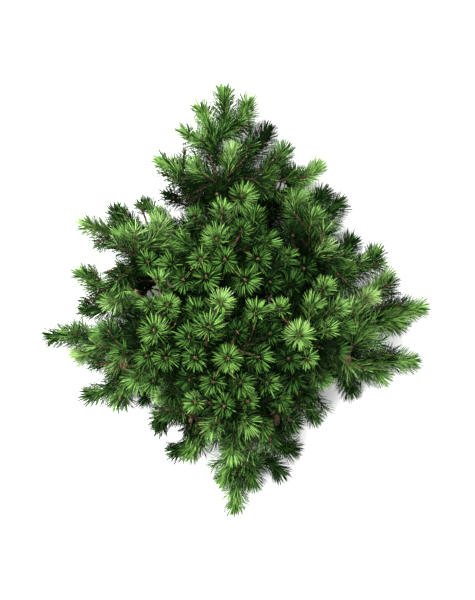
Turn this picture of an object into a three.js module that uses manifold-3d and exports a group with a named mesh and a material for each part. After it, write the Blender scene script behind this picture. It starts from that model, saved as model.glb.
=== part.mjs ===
// A dwarf mountain pine about a metre across, rooted in level ground.
// A short trunk carries three tiers of boughs. Each bough turns up into one mass of needled shoots, and
// the trunk itself runs up into the topmost mass.
// Millimetres, +Z up, with the origin where the trunk meets the ground.

import * as THREE from "three";
import { mergeVertices } from "three/addons/utils/BufferGeometryUtils.js";
import Module from "manifold-3d";

const wasm = await Module();
wasm.setup();

// Driving dimensions of the crown
const CROWN_TOP = 672; // height of the highest bud, with needles some way above it
const CROWN_RIM = 205; // height at which the crown is widest
const CROWN_FULLNESS = 1.9; // 1 gives a cone, 2 a paraboloid
const CROWN_CENTRE = new THREE.Vector3(-10, -92, 0); // plan place of the top, which leans off the foot
const LARGEST_REACH = 1000; // further out than any shoot is from any place in the crown
const BLEND_ANGLE = 11; // degrees over which neighbouring reaches run into each other

// The outermost shoots of each rim mass, anticlockwise: the bud's azimuth in degrees from +X, its distance
// from the foot, how far the shoot turns from that azimuth, and how far the bud stands above the rim
const RIM_SHOOTS = [
  [[98, 525, 22, -10], [92, 550, 0, 20], [86, 531, -4, 0]],
  [[80, 474, -18, -45], [73, 429, -11, 0], [66, 389, 38, -45]],
  [[60, 422, -5, 10], [54, 380, -10, -45], [47, 389, -8, -55]],
  [[32, 350, 28, -45], [23, 383, 52, 25], [15, 388, 35, 0]],
  [[3, 462, 5, -15], [-1, 403, -4, 30]],
  [[-14, 453, 6, -5], [-21, 385, -21, 30]],
  [[-30, 344, -45, -50], [-50, 305, -10, 20]],
  [[-62, 300, 22, -55], [-67, 355, 59, -40], [-73, 389, 13, 0]],
  [[-83, 395, -2, 30], [-89, 457, -4, -10], [-92, 390, -33, 0]],
  [[-105, 348, -23, -20], [-112, 357, -53, -35], [-125, 312, 20, -10]],
  [[-145, 347, 35, 0], [-151, 393, -20, 10]],
  [[-166, 377, -14, 30], [-174, 442, 2, 0]],
  [[178, 358, -15, -40], [164, 380, -15, 15]],
  [[147, 424, 10, 15], [138, 388, -23, -35], [127, 345, 18, -5]],
  [[113, 423, 39, 0], [104, 472, 48, 10]],
];

// Tiers of foliage masses: how many, how far out as a share of the rim, and how deep under the crown
const MIDDLE_TIER = { name: "middle", count: 7, share: 0.62, depth: 95, turn: 92 };
const UPPER_TIER = { name: "upper", count: 4, share: 0.34, depth: 90, turn: 92 };
const RIM_SITE = { share: 0.7, height: 205 };
const TOP_SITE_DEPTH = 95;

// Buds of the crown: the outermost ones, rings inside them above, between and below, and the field of those
// that face up inside the rings. A lift of 0 heads straight outward and 1 straight up.
const OUTERMOST = { lift: 0.32, liftSpread: 0.12 };
const SHOULDER = { count: 26, share: 0.71, rise: 190, lift: 0.6 };
const BELT = { count: 22, share: 0.75, rise: 80, lift: 0.4 };
const SKIRT = { count: 22, share: 0.72, rise: -90, lift: 0.22 };
const RING_SPREAD = { turn: 0.3, share: 0.05, height: 34 };
const FIELD = { spacing: 60, share: 0.61, spread: 26, lean: 0.42, liftSpread: 0.1 };
const CROWN_SEED = 2207;
const BUD_SPACING = 58; // least distance between two buds
const SPREADING_ROUNDS = 10;
const WALL_CLEARANCE = 13; // from a bud to the wall of its mass's space
const SETTLING_ROUNDS = 3;

// Shoots
const SHOOT_LENGTH = 60; // the needled end of a shoot
const LARGEST_NEEDLED_SHARE = 0.8; // of a short shoot
const NEEDLE = 46; // length of a spray of needles
const NEEDLE_SPREAD = 0.24; // how much longer the longest spray is than the shortest, as a share
const NEEDLE_OVERHANG = 24; // how far the last sprays reach past a shoot's bud
const CORE_RADIUS = 8.2;
const CORE_RINGS = [[0, 0.8], [0.42, 1], [0.84, 0.8]]; // places along the core and shares of its radius
const WHORLS = [{ angle: 66, twist: 15 }, { angle: 50, twist: -15 }]; // degrees off the axis, and round it
const TIP_WHORL = { angle: 22, share: 0.75 }; // its sprays are shorter by this share
const TIP_SPRAYS_BELOW = 0.75; // a shoot that points up more steeply has none at its tip
const ANGLE_SPREAD = 3; // by how many degrees every other spray stands out more, and the rest less
const SPRAY_STATIONS = [0.2, 0.4, 0.6, 0.8, 1]; // places along a spray that are tested and kept clear
const SPRAY_ROOT_RADIUS = 5;
const SPRAY_TIP_RADIUS = 1;
const SHORTEST_SPRAY = 14; // a face with less room stays plain
const SHORTENING = 0.88; // what each try to fit a spray leaves of its length
const ROOT_RADIUS = 2.1; // where a twig's root is sunk in the twig or stem that bears it
const TWIG_RADIUS = 3.2;
const COLLAR_RADIUS = 4.4; // a twig where it bears others
const COLLAR_AT = 0.3;
const LONGEST_STRAIGHT = 60; // a bare twig longer than this bends
const SHOOT_HANDLES = { root: 0.25, way: 0.12, tip: 0.42 }; // shares of the distance that shape its curve
const STEM_JOINTS = [0.16, 0.3, 0.44, 0.57, 0.69, 0.8, 0.9, 1]; // places on a stem that may bear a shoot
const TURN_COST = 0.8; // how much further off a joint counts for a bud that isn't straight ahead
const STEM_PENALTY = 12; // and on a stem's side, and on a shoot, and where it already bears a shoot
const SHOOT_PENALTY = 20;
const REUSE_PENALTY = 60;
const JOINTS_TRIED = 5;
const JOINING_ATTEMPTS = 6;
const RETRY_TURN = 17;
const MASS_SEED = 4001;

// Clear space that a mass keeps
const LIMB_SPACE = 4; // round the limbs
const SHOOT_SPACE = 6; // between one shoot's core and another's
const SPRAY_SPACE = 0.5; // between one spray and another
const LOWEST_NEEDLE = 25; // off the ground
const CURVE_STATIONS = [0.35, 0.5, 0.6, 0.7, 0.8, 0.9, 1]; // places along a shoot that are tested
const BALLS_FROM = 0.12; // the share of a shoot, at its root, that others may touch
const BALLS = { limb: 21, stem: 7, shoot: 12 }; // how many stand for one
const TRUNK_BALL_STEP = 15;

// Trunk
const TRUNK_HEIGHT = 505;
const TRUNK_RADIUS = 31; // just above the flare
const TRUNK_TIP_RADIUS = 7;
const TRUNK_TAPER = 0.9; // 1 tapers evenly
const TRUNK_BEND = 16; // sideways sway
const TRUNK_LEAN = 1.4; // above 1, the lean grows upward
const FLARE = 15; // extra radius of the root flare at ground level
const FLARE_HEIGHT = 26;
const FLARE_RIBS = { count: 5, depth: 0.28 };
const TRUNK_SIDES = 15;
const TRUNK_STEPS = 9;
const STEP_GROWTH = 1.5; // above 1, the trunk's rings are closest at its foot

// Boughs: heights of their roots on the trunk, then degrees above level where they leave it and arrive
const RIM_BOUGHS = { heights: [62, 96], rise: 6, arrival: 44, radius: 13.5 };
const MIDDLE_BOUGHS = { heights: [150, 189, 228, 176, 215, 163, 202], rise: 30, arrival: 68, radius: 11 };
const UPPER_BOUGHS = { heights: [300, 330], rise: 42, arrival: 76, radius: 8.5 };
// Every other rim bough carries a side bough
const SIDE_BOUGH = { forkAt: 0.36, along: 0.25, rise: 4, arrival: 46, width: 0.82 };
const BOUGH_HANDLES = { root: 0.38, tip: 0.36 };
const BOUGH_SHARE = 0.7; // the share of a limb that is bare bough, before it enters its mass
const BOUGH_TAPER = 0.8;
const BOUGH_SIDES = 6;
const BOUGH_STEPS = 4;
const STEM_TIP_RADIUS = 5.4;
const STEM_SIDES = 5;
const STEM_STEPS = 2;

const GAP = 0.35; // between neighbouring solids
const WELD = 0.001; // vertices closer than this are one

// Cones
const CONE_LENGTH = 27;
const CONE_RADIUS = 9.5;
const CONE_PROFILE = [[0, 0], [0.7, 0.12], [1, 0.4], [0.75, 0.75], [0, 1]]; // shares of radius and length
const CONE_SIDES = 6;
const CONE_AT = 0.97; // how far along the stem
const CONE_RISE = 25; // degrees above level
const CONE_MASSES = ["rim_3", "rim_8", "rim_11", "rim_15", "middle_5", "middle_6"];

const BARK = { color: 0x6b4a35, roughness: 0.95, metalness: 0 };
const NEEDLES = { color: 0x4f8a38, roughness: 0.6, metalness: 0 };

const UP = new THREE.Vector3(0, 0, 1);
const radians = THREE.MathUtils.degToRad;

// A repeatable source of numbers from 0 to 1
function seeded(seed) {
  let state = seed >>> 0;
  return () => {
    state = (Math.imul(state, 1664525) + 1013904223) >>> 0;
    return state / 4294967296;
  };
}

function outward(azimuth) {
  return new THREE.Vector3(Math.cos(radians(azimuth)), Math.sin(radians(azimuth)), 0);
}

// Reach of the crown's edge at an azimuth, blended from the named outermost shoots
function crownReach(azimuth) {
  let sum = 0;
  let weights = 0;
  for (const [at, distance] of RIM_SHOOTS.flat()) {
    const apart = ((azimuth - at + 540) % 360) - 180;
    const weight = Math.exp(-((apart / BLEND_ANGLE) ** 2)) + 1e-6;
    sum += weight * (distance + NEEDLE_OVERHANG);
    weights += weight;
  }
  return sum / weights;
}

// Height of the crown's surface at a share of the way from its centre to its rim
function crownHeight(share) {
  return CROWN_RIM + (CROWN_TOP - CROWN_RIM) * (1 - share ** CROWN_FULLNESS);
}

// The point of the crown above a share of the way out, at an azimuth seen from the foot
function crownPoint(azimuth, share) {
  const rim = outward(azimuth).multiplyScalar(crownReach(azimuth));
  return CROWN_CENTRE.clone().lerp(rim, share).setZ(crownHeight(share));
}

// Buds of the crown

function bud(point, azimuth, lift) {
  const heading = outward(azimuth).multiplyScalar(1 - lift).addScaledVector(UP, lift).normalize();
  return { point, heading };
}

// A number that lies within half a spread of a middle value
function around(middle, spread, random) {
  return middle + spread * (random() - 0.5);
}

function rimBuds(random) {
  return RIM_SHOOTS.flat().map(([azimuth, distance, turn, rise]) => {
    const point = outward(azimuth).multiplyScalar(distance).setZ(CROWN_RIM + rise);
    return bud(point, azimuth + turn, around(OUTERMOST.lift, OUTERMOST.liftSpread, random));
  });
}

function ringBuds({ count, share, rise, lift }, random) {
  return Array.from({ length: count }, (_, i) => {
    const azimuth = (around(i + 0.5, RING_SPREAD.turn, random) * 360) / count;
    const reach = crownReach(azimuth) * around(share, RING_SPREAD.share, random);
    const height = around(CROWN_RIM + rise, RING_SPREAD.height, random);
    return bud(outward(azimuth).multiplyScalar(reach).setZ(height), azimuth, lift);
  });
}

// Distance from the crown's centre to its rim along an azimuth seen from the centre
function edgeDistance(azimuth) {
  let [inside, outside] = [0, LARGEST_REACH];
  for (let step = 0; step < 20; step++) {
    const middle = (inside + outside) / 2;
    const point = outward(azimuth).multiplyScalar(middle).add(CROWN_CENTRE);
    if (point.length() < crownReach(azimuthOf(point))) inside = middle;
    else outside = middle;
  }
  return inside;
}

// Buds on a triangular grid about the crown's centre, each moved a little off its place
function fieldBuds(random) {
  const buds = [];
  const rows = Math.ceil(LARGEST_REACH / FIELD.spacing);
  for (let row = -rows; row <= rows; row++)
    for (let column = -rows; column <= rows; column++) {
      const x = (column + 0.5 * (row & 1)) * FIELD.spacing;
      const y = row * FIELD.spacing * Math.sqrt(0.75);
      const azimuth = azimuthOf(new THREE.Vector3(x, y, 0));
      const share = Math.hypot(x, y) / edgeDistance(azimuth);
      if (share > FIELD.share) continue;
      const place = [x, y, crownHeight(share)].map((middle) => around(middle, FIELD.spread, random));
      const point = new THREE.Vector3(...place).add(CROWN_CENTRE);
      buds.push(bud(point, azimuth, around(1 - FIELD.lean * share, FIELD.liftSpread, random)));
    }
  return buds;
}

function crownBuds() {
  const random = seeded(CROWN_SEED);
  return spreadOut([
    ...rimBuds(random),
    ...ringBuds(SHOULDER, random),
    ...ringBuds(BELT, random),
    ...ringBuds(SKIRT, random),
    ...fieldBuds(random),
  ]);
}

// Pushes buds apart that stand too close, without moving the outermost ones
function spreadOut(buds) {
  const fixed = RIM_SHOOTS.flat().length;
  for (let round = 0; round < SPREADING_ROUNDS; round++)
    for (let i = 0; i < buds.length; i++)
      for (let k = Math.max(i + 1, fixed); k < buds.length; k++) {
        const apart = buds[k].point.clone().sub(buds[i].point);
        const short = BUD_SPACING - apart.length();
        if (short <= 0) continue;
        apart.setLength(short / 2);
        buds[k].point.add(apart);
        if (i >= fixed) buds[i].point.sub(apart);
      }
  return buds;
}

// Spaces of the masses: each keeps to the points that lie nearer to its own site than to any other

function crownSites() {
  const sites = RIM_SHOOTS.map((shoots, i) => {
    const azimuth = (shoots[0][0] + shoots.at(-1)[0]) / 2;
    const point = outward(azimuth).multiplyScalar(crownReach(azimuth) * RIM_SITE.share);
    return { name: `rim_${i + 1}`, azimuth, point: point.setZ(RIM_SITE.height) };
  });
  for (const tier of [MIDDLE_TIER, UPPER_TIER])
    for (let i = 0; i < tier.count; i++) {
      const azimuth = tier.turn + (i * 360) / tier.count;
      const point = crownPoint(azimuth, tier.share);
      point.z -= tier.depth;
      sites.push({ name: `${tier.name}_${i + 1}`, azimuth, point });
    }
  sites.push({ name: "top", azimuth: 0, point: crownPoint(0, 0).setZ(CROWN_TOP - TOP_SITE_DEPTH) });
  return sites;
}

// The walls of a site's space: for each other site, the way across to it and the point halfway
function wallsOf(site, sites) {
  return sites.filter((other) => other !== site).map((other) => ({
    across: other.point.clone().sub(site.point).normalize(),
    halfway: site.point.clone().add(other.point).multiplyScalar(0.5),
  }));
}

function offWall(wall, point) {
  return wall.halfway.clone().sub(point).dot(wall.across);
}

function nearestSite(sites, point) {
  const apart = (site) => site.point.distanceToSquared(point);
  return sites.reduce((best, site) => (apart(site) < apart(best) ? site : best));
}

// Moves a bud straight off any wall that it stands too near
function settle(point, walls) {
  for (let round = 0; round < SETTLING_ROUNDS; round++)
    for (const wall of walls) {
      const short = WALL_CLEARANCE - offWall(wall, point);
      if (short > 0) point.addScaledVector(wall.across, -short);
    }
}

// Limbs: the trunk's axis, and a curve for each bough that runs on as the stem of its mass

function trunkPoint(z) {
  const rise = z / TRUNK_HEIGHT;
  const sway = TRUNK_BEND * Math.sin(Math.PI * 2 * rise);
  const lean = CROWN_CENTRE.clone().multiplyScalar(rise ** TRUNK_LEAN);
  return new THREE.Vector3(lean.x + sway, lean.y + sway / 2, z);
}

function trunkRadius(z) {
  return THREE.MathUtils.lerp(TRUNK_RADIUS, TRUNK_TIP_RADIUS, (z / TRUNK_HEIGHT) ** TRUNK_TAPER);
}

// A limb leaves its root along one heading and arrives at its end along another
function limbCurve(root, leaving, end, arriving) {
  const span = root.distanceTo(end);
  return new THREE.CubicBezierCurve3(
    root,
    root.clone().addScaledVector(leaving, span * BOUGH_HANDLES.root),
    end.clone().addScaledVector(arriving, -span * BOUGH_HANDLES.tip),
    end,
  );
}

function headingOf(azimuth, elevation) {
  return outward(azimuth).multiplyScalar(Math.cos(radians(elevation)))
    .addScaledVector(UP, Math.sin(radians(elevation)));
}

function azimuthOf(vector) {
  return THREE.MathUtils.radToDeg(Math.atan2(vector.y, vector.x));
}

function taper(rootRadius) {
  return (t) => THREE.MathUtils.lerp(rootRadius, STEM_TIP_RADIUS, t ** BOUGH_TAPER);
}

function carriedByTrunk(site, i, { heights, rise, arrival, radius }) {
  const root = trunkPoint(heights[i % heights.length]);
  const azimuth = azimuthOf(site.point.clone().sub(root));
  return {
    name: site.name,
    site,
    curve: limbCurve(root, headingOf(azimuth, rise), site.point, headingOf(azimuth, arrival)),
    radiusAt: taper(radius),
    carrier: "trunk",
  };
}

function carriedByBough(site, carrier) {
  const root = carrier.curve.getPoint(SIDE_BOUGH.forkAt);
  const along = carrier.curve.getTangent(SIDE_BOUGH.forkAt);
  const azimuth = azimuthOf(site.point.clone().sub(root));
  const leaving = headingOf(azimuth, SIDE_BOUGH.rise).lerp(along, SIDE_BOUGH.along).normalize();
  return {
    name: site.name,
    site,
    curve: limbCurve(root, leaving, site.point, headingOf(azimuth, SIDE_BOUGH.arrival)),
    radiusAt: taper(carrier.radiusAt(SIDE_BOUGH.forkAt) * SIDE_BOUGH.width),
    carrier: carrier.name,
  };
}

// The topmost mass's stem goes straight on from the trunk's tip
function leader(site) {
  return {
    name: site.name,
    site,
    curve: new THREE.LineCurve3(trunkPoint(TRUNK_HEIGHT), site.point),
    radiusAt: (t) => THREE.MathUtils.lerp(TRUNK_TIP_RADIUS, STEM_TIP_RADIUS, t),
    carrier: "trunk",
  };
}

function growLimbs(sites) {
  const limbs = [];
  const tier = (name) => sites.filter((site) => site.name.startsWith(name));
  tier("rim").forEach((site, i) => {
    const isSide = i % 2 === 1;
    limbs.push(isSide ? carriedByBough(site, limbs.at(-1)) : carriedByTrunk(site, i / 2, RIM_BOUGHS));
  });
  tier("middle").forEach((site, i) => limbs.push(carriedByTrunk(site, i, MIDDLE_BOUGHS)));
  tier("upper").forEach((site, i) => limbs.push(carriedByTrunk(site, i, UPPER_BOUGHS)));
  limbs.push(leader(sites.at(-1)));
  return limbs;
}

// The share of a limb at which its mass begins, just clear of the bough's tip or the trunk's
function stemStart(limb) {
  return (limb.name === "top" ? 0 : BOUGH_SHARE) + GAP / limb.curve.getLength();
}

// Geometry of the limbs

// A closed tapering tube: a cylinder whose axis is bent along a stretch of a curve
function tube(curve, from, to, radiusAt, sides, steps, swell = 0) {
  const geometry = new THREE.CylinderGeometry(1, 1, 1, sides, steps);
  const position = geometry.attributes.position;
  const reference = curve.getTangent(from).cross(UP);
  const vertex = new THREE.Vector3();
  for (let i = 0; i < position.count; i++) {
    vertex.fromBufferAttribute(position, i);
    const t = THREE.MathUtils.lerp(from, to, vertex.y + 0.5);
    const along = curve.getTangent(t);
    const side = reference.clone().addScaledVector(along, -reference.dot(along)).normalize();
    const radius = radiusAt(t) + swell;
    const place = curve.getPoint(t)
      .addScaledVector(side, vertex.x * radius)
      .addScaledVector(side.clone().cross(along), vertex.z * radius);
    position.setXYZ(i, place.x, place.y, place.z);
  }
  return geometry;
}

// The trunk's rings are level, so that its cut at the ground is flat
function trunkGeometry(swell = 0) {
  const geometry = new THREE.CylinderGeometry(1, 1, 1, TRUNK_SIDES, TRUNK_STEPS);
  const position = geometry.attributes.position;
  for (let i = 0; i < position.count; i++) {
    const [x, y, z] = [position.getX(i), position.getY(i) + 0.5, position.getZ(i)];
    const height = TRUNK_HEIGHT * y ** STEP_GROWTH;
    const ribs = 1 + FLARE_RIBS.depth * Math.cos(FLARE_RIBS.count * Math.atan2(z, x));
    const flare = FLARE * Math.exp(-height / FLARE_HEIGHT) * ribs;
    const radius = trunkRadius(height) + flare + swell;
    const axis = trunkPoint(height);
    position.setXYZ(i, axis.x + x * radius, axis.y - z * radius, height);
  }
  return geometry;
}

// Solids

function solidFrom(geometry) {
  geometry.deleteAttribute("normal");
  geometry.deleteAttribute("uv");
  const merged = mergeVertices(geometry, 1e-4);
  return new wasm.Manifold(new wasm.Mesh({
    numProp: 3,
    vertProperties: merged.attributes.position.array,
    triVerts: new Uint32Array(merged.index.array),
  }));
}

// A solid's mesh with vertices closer than WELD joined and the faces that closed up dropped
function geometryFrom(solid) {
  const mesh = solid.getMesh();
  const loose = new THREE.BufferGeometry();
  loose.setAttribute("position", new THREE.BufferAttribute(mesh.vertProperties, 3));
  loose.setIndex(new THREE.BufferAttribute(mesh.triVerts, 1));
  const geometry = mergeVertices(loose, WELD);
  const kept = facesOf(geometry).filter(([a, b, c]) => a !== b && b !== c && c !== a);
  geometry.setIndex(kept.flat());
  geometry.computeVertexNormals();
  return geometry;
}

function facesOf(geometry) {
  const index = geometry.index.array;
  return Array.from({ length: index.length / 3 }, (_, i) => [...index.slice(3 * i, 3 * i + 3)]);
}

// Whether each edge of the welded mesh has exactly one face on either side
function isSound(solid) {
  if (solid.decompose().length > 1) return false;
  const edges = new Map();
  for (const [a, b, c] of facesOf(geometryFrom(solid)))
    for (const edge of [`${a}>${b}`, `${b}>${c}`, `${c}>${a}`]) edges.set(edge, (edges.get(edge) ?? 0) + 1);
  return [...edges].every(([edge, count]) => (
    count === 1 && edges.get(edge.split(">").reverse().join(">")) === 1));
}

function listGeometry(vertices, faces) {
  const geometry = new THREE.BufferGeometry();
  const numbers = vertices.flatMap((v) => [v.x, v.y, v.z]);
  geometry.setAttribute("position", new THREE.Float32BufferAttribute(numbers, 3));
  geometry.setIndex(faces.flat());
  return geometry;
}

// The largest body of what a cut leaves
function mainBody(solid) {
  return solid.decompose().reduce((best, body) => (body.volume() > best.volume() ? body : best));
}

// Shoots: a three-sided twig whose needled end is a slim core with sprays of needles standing out of it

function threeSidedRing(centre, side, along, radius, turn) {
  const other = along.clone().cross(side);
  return [0, 120, 240].map((angle) => centre.clone()
    .addScaledVector(side, radius * Math.cos(radians(angle + turn)))
    .addScaledVector(other, radius * Math.sin(radians(angle + turn))));
}

// Raises one face of the core to a spray's tip, shortened until the spray is free
function raiseSpray(mesh, face, { axis, along, angle, twist, length }, isFree) {
  const [a, b, c] = face.map((index) => mesh.vertices[index]);
  const root = a.clone().add(b).add(c).divideScalar(3);
  const out = root.clone().sub(axis);
  out.addScaledVector(along, -out.dot(along)).normalize().applyAxisAngle(along, radians(twist));
  out.multiplyScalar(Math.sin(radians(angle)));
  const heading = out.addScaledVector(along, Math.cos(radians(angle)));
  const spray = (reach) => SPRAY_STATIONS.map((share) => ({
    point: root.clone().addScaledVector(heading, reach * share),
    radius: THREE.MathUtils.lerp(SPRAY_ROOT_RADIUS, SPRAY_TIP_RADIUS, share),
  }));
  const fits = (reach) => spray(reach).every((ball) => isFree(ball.point, ball.radius));
  let reach = length;
  while (reach > SHORTEST_SPRAY && !fits(reach)) reach *= SHORTENING;
  if (reach <= SHORTEST_SPRAY) {
    mesh.faces.push(face);
    return;
  }
  mesh.filled.push(...spray(reach));
  const tip = mesh.vertices.push(spray(reach).at(-1).point) - 1;
  mesh.faces.push([face[0], face[1], tip], [face[1], face[2], tip], [face[2], face[0], tip]);
}

function bareShare(curve) {
  return 1 - Math.min(LARGEST_NEEDLED_SHARE, SHOOT_LENGTH / curve.getLength());
}

// Where a shoot's bare twig is thickest and other shoots grow from it
function collarAt(curve) {
  return Math.min(COLLAR_AT, 0.6 * bareShare(curve));
}

// The rings of a shoot's bare twig, with a collar where it bears others or is long, then those of its core
function shootRings({ curve, bears }) {
  const bare = bareShare(curve);
  const rings = [{ t: 0, radius: ROOT_RADIUS }];
  if (bears || bare * curve.getLength() > LONGEST_STRAIGHT)
    rings.push({ t: collarAt(curve), radius: bears ? COLLAR_RADIUS : TWIG_RADIUS });
  const prisms = rings.length;
  for (const [share, width] of CORE_RINGS)
    rings.push({ t: THREE.MathUtils.lerp(bare, 1, share), radius: width * CORE_RADIUS });
  return { rings, prisms };
}

// The edges of a three-sided ring, as pairs of its vertices
function ringEdges(k) {
  return [[0, 1], [1, 2], [2, 0]].map(([a, b]) => [3 * k + a, 3 * k + b]);
}

// The bare twig is a three-sided prism, and along the core each ring is a sixth of a turn on from the last
function shootSolid(placed, firstTurn, isFree, random) {
  const { curve } = placed;
  const { rings, prisms } = shootRings(placed);
  const mesh = { vertices: [], faces: [[0, 2, 1]], filled: [] };
  const side = new THREE.Vector3(1, 0, 0);
  rings.forEach(({ t, radius }, k) => {
    const along = curve.getTangent(t);
    side.addScaledVector(along, -side.dot(along)).normalize();
    const turn = firstTurn + 60 * Math.max(0, k - prisms);
    mesh.vertices.push(...threeSidedRing(curve.getPoint(t), side, along, radius, turn));
  });
  const end = mesh.vertices.push(curve.getPoint(1)) - 1;
  for (let k = 0; k < prisms; k++)
    for (const [a, b] of ringEdges(k)) mesh.faces.push([a, b, b + 3], [a, b + 3, a + 3]);
  const sprayAt = (t, angle, twist, share) => ({
    axis: curve.getPoint(t),
    along: curve.getTangent(t),
    angle,
    twist,
    length: share * NEEDLE * around(1, NEEDLE_SPREAD, random),
  });
  WHORLS.forEach(({ angle, twist }, whorl) => {
    const k = prisms + whorl;
    const t = (rings[k].t + rings[k + 1].t) / 2;
    for (const [a, b] of ringEdges(k)) {
      raiseSpray(mesh, [a, b, a + 3], sprayAt(t, angle + ANGLE_SPREAD, twist, 1), isFree);
      raiseSpray(mesh, [b, b + 3, a + 3], sprayAt(t, angle - ANGLE_SPREAD, twist, 1), isFree);
    }
  });
  for (const [a, b] of ringEdges(rings.length - 1))
    if (curve.getTangent(1).z > TIP_SPRAYS_BELOW) mesh.faces.push([a, b, end]);
    else raiseSpray(mesh, [a, b, end], sprayAt(1, TIP_WHORL.angle, 0, TIP_WHORL.share), isFree);
  return { solid: solidFrom(listGeometry(mesh.vertices, mesh.faces)), filled: mesh.filled };
}

// How far off a joint counts for a bud: the way there, more where it turns back, and what the joint bears
function jointCost(joint, target) {
  const way = target.point.clone().sub(joint.point);
  const distance = way.length();
  return distance * (1 + TURN_COST * (1 - way.dot(joint.along) / distance)) + joint.penalty;
}

function shootCurve(joint, target) {
  const way = target.point.clone().sub(joint.point);
  const span = way.length();
  return new THREE.CubicBezierCurve3(
    joint.point,
    joint.point.clone()
      .addScaledVector(joint.along, span * SHOOT_HANDLES.root)
      .addScaledVector(way, SHOOT_HANDLES.way),
    target.point.clone().addScaledVector(target.heading, -span * SHOOT_HANDLES.tip),
    target.point,
  );
}

function jointAt(curve, t, penalty) {
  return { point: curve.getPoint(t), along: curve.getTangent(t), penalty };
}

// A joint on the straight stretches between the rings of a stem
function stemJoint(curve, from, u) {
  const ring = Math.min(Math.floor(u * STEM_STEPS), STEM_STEPS - 1);
  const at = (k) => curve.getPoint(THREE.MathUtils.lerp(from, 1, k / STEM_STEPS));
  const joint = jointAt(curve, THREE.MathUtils.lerp(from, 1, u), u < 1 ? STEM_PENALTY : 0);
  joint.point = at(ring).lerp(at(ring + 1), u * STEM_STEPS - ring);
  return joint;
}

// Balls along a stretch of a curve
function ballsAlong(curve, from, to, count, radiusAt) {
  return Array.from({ length: count }, (_, i) => {
    const t = THREE.MathUtils.lerp(from, to, i / (count - 1));
    return { point: curve.getPoint(t), radius: radiusAt(t) };
  });
}

function coreBalls(curve) {
  return ballsAlong(curve, BALLS_FROM, 1, BALLS.shoot, () => CORE_RADIUS);
}

// Balls that fill the limbs which a mass has to keep off: all but its own stem
function limbBalls(limb, limbs) {
  const balls = limbs.flatMap((other) => (
    ballsAlong(other.curve, 0, other === limb ? BOUGH_SHARE : 1, BALLS.limb, other.radiusAt)));
  for (let z = 0; z <= TRUNK_HEIGHT; z += TRUNK_BALL_STEP)
    balls.push({ point: trunkPoint(z), radius: trunkRadius(z) });
  return balls;
}

// A test of whether a ball keeps inside the mass's space and off the balls of what is already there
function freedomIn(walls, balls, clearance) {
  return (point, radius) => (
    point.z > LOWEST_NEEDLE + radius
    && walls.every((wall) => offWall(wall, point) > radius + GAP)
    && balls.every((ball) => ball.point.distanceTo(point) > ball.radius + radius + clearance));
}

function isCurveFree(curve, isFree, from) {
  return CURVE_STATIONS.every((t) => t < from || isFree(curve.getPoint(t), CORE_RADIUS));
}

function coneSolid(place, along) {
  const points = CONE_PROFILE.map(([wide, at]) => new THREE.Vector2(wide * CONE_RADIUS, at * CONE_LENGTH));
  const geometry = new THREE.LatheGeometry(points, CONE_SIDES);
  geometry.applyQuaternion(new THREE.Quaternion().setFromUnitVectors(new THREE.Vector3(0, 1, 0), along));
  geometry.translate(place.x, place.y, place.z);
  return solidFrom(geometry);
}

// The shoots of a mass, nearest bud first, each from the stem or an earlier shoot
function placeShoots(limb, from, buds, walls, isOffLimbs) {
  const joints = STEM_JOINTS.map((u) => stemJoint(limb.curve, from, u));
  const far = (target) => limb.site.point.distanceTo(target.point);
  const shoots = [];
  const balls = ballsAlong(limb.curve, from, 1, BALLS.stem, limb.radiusAt);
  for (const target of [...buds].sort((a, b) => far(a) - far(b))) {
    const isOffShoots = freedomIn(walls, balls, SHOOT_SPACE);
    const nearest = [...joints].sort((a, b) => jointCost(a, target) - jointCost(b, target));
    const isOpen = (curve) => isCurveFree(curve, isOffLimbs, 0) && isCurveFree(curve, isOffShoots, 0.5);
    const joint = nearest.slice(0, JOINTS_TRIED).find((other) => isOpen(shootCurve(other, target)));
    if (!joint) continue;
    const shoot = { curve: shootCurve(joint, target), bears: false };
    joint.penalty += REUSE_PENALTY;
    if (joint.shoot) joint.shoot.bears = true;
    shoots.push(shoot);
    joints.push({ ...jointAt(shoot.curve, collarAt(shoot.curve), SHOOT_PENALTY), shoot });
    balls.push(...coreBalls(shoot.curve));
  }
  return shoots;
}

// One mass: the stem that goes on from the bough's tip, its shoots, and on some a cone near the stem's end
function growMass(limb, buds, walls, limbs) {
  const random = seeded(MASS_SEED + limbs.indexOf(limb));
  const isOffLimbs = freedomIn(walls, limbBalls(limb, limbs), LIMB_SPACE);
  const from = stemStart(limb);
  let mass = solidFrom(tube(limb.curve, from, 1, limb.radiusAt, STEM_SIDES, STEM_STEPS));
  if (CONE_MASSES.includes(limb.name))
    mass = mass.add(coneSolid(limb.curve.getPoint(CONE_AT), headingOf(360 * random(), CONE_RISE)));
  const shoots = placeShoots(limb, from, buds, walls, isOffLimbs);
  const filled = ballsAlong(limb.curve, from, 1, BALLS.stem, limb.radiusAt);
  for (const placed of shoots) {
    const others = shoots.filter((other) => other !== placed).flatMap(({ curve }) => coreBalls(curve));
    const isOffShoots = freedomIn(walls, [...others, ...filled], SPRAY_SPACE);
    const isFree = (point, radius) => isOffLimbs(point, radius) && isOffShoots(point, radius);
    const joined = joinShoot(mass, placed, isFree, random);
    mass = joined?.mass ?? mass;
    filled.push(...(joined?.filled ?? []));
  }
  return mass;
}

// Fuses a shoot to its mass, turned a little further until the whole is sound
function joinShoot(mass, placed, isFree, random) {
  for (let attempt = 0; attempt < JOINING_ATTEMPTS; attempt++) {
    const shoot = shootSolid(placed, RETRY_TURN * attempt, isFree, random);
    const joined = mass.add(shoot.solid);
    if (isSound(joined)) return { mass: joined, filled: shoot.filled };
  }
  return null;
}

// Assembly

const pine = new THREE.Group();

function addPiece(name, solid, finish) {
  const piece = new THREE.Mesh(geometryFrom(solid), new THREE.MeshStandardMaterial(finish));
  piece.name = name;
  pine.add(piece);
}

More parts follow.
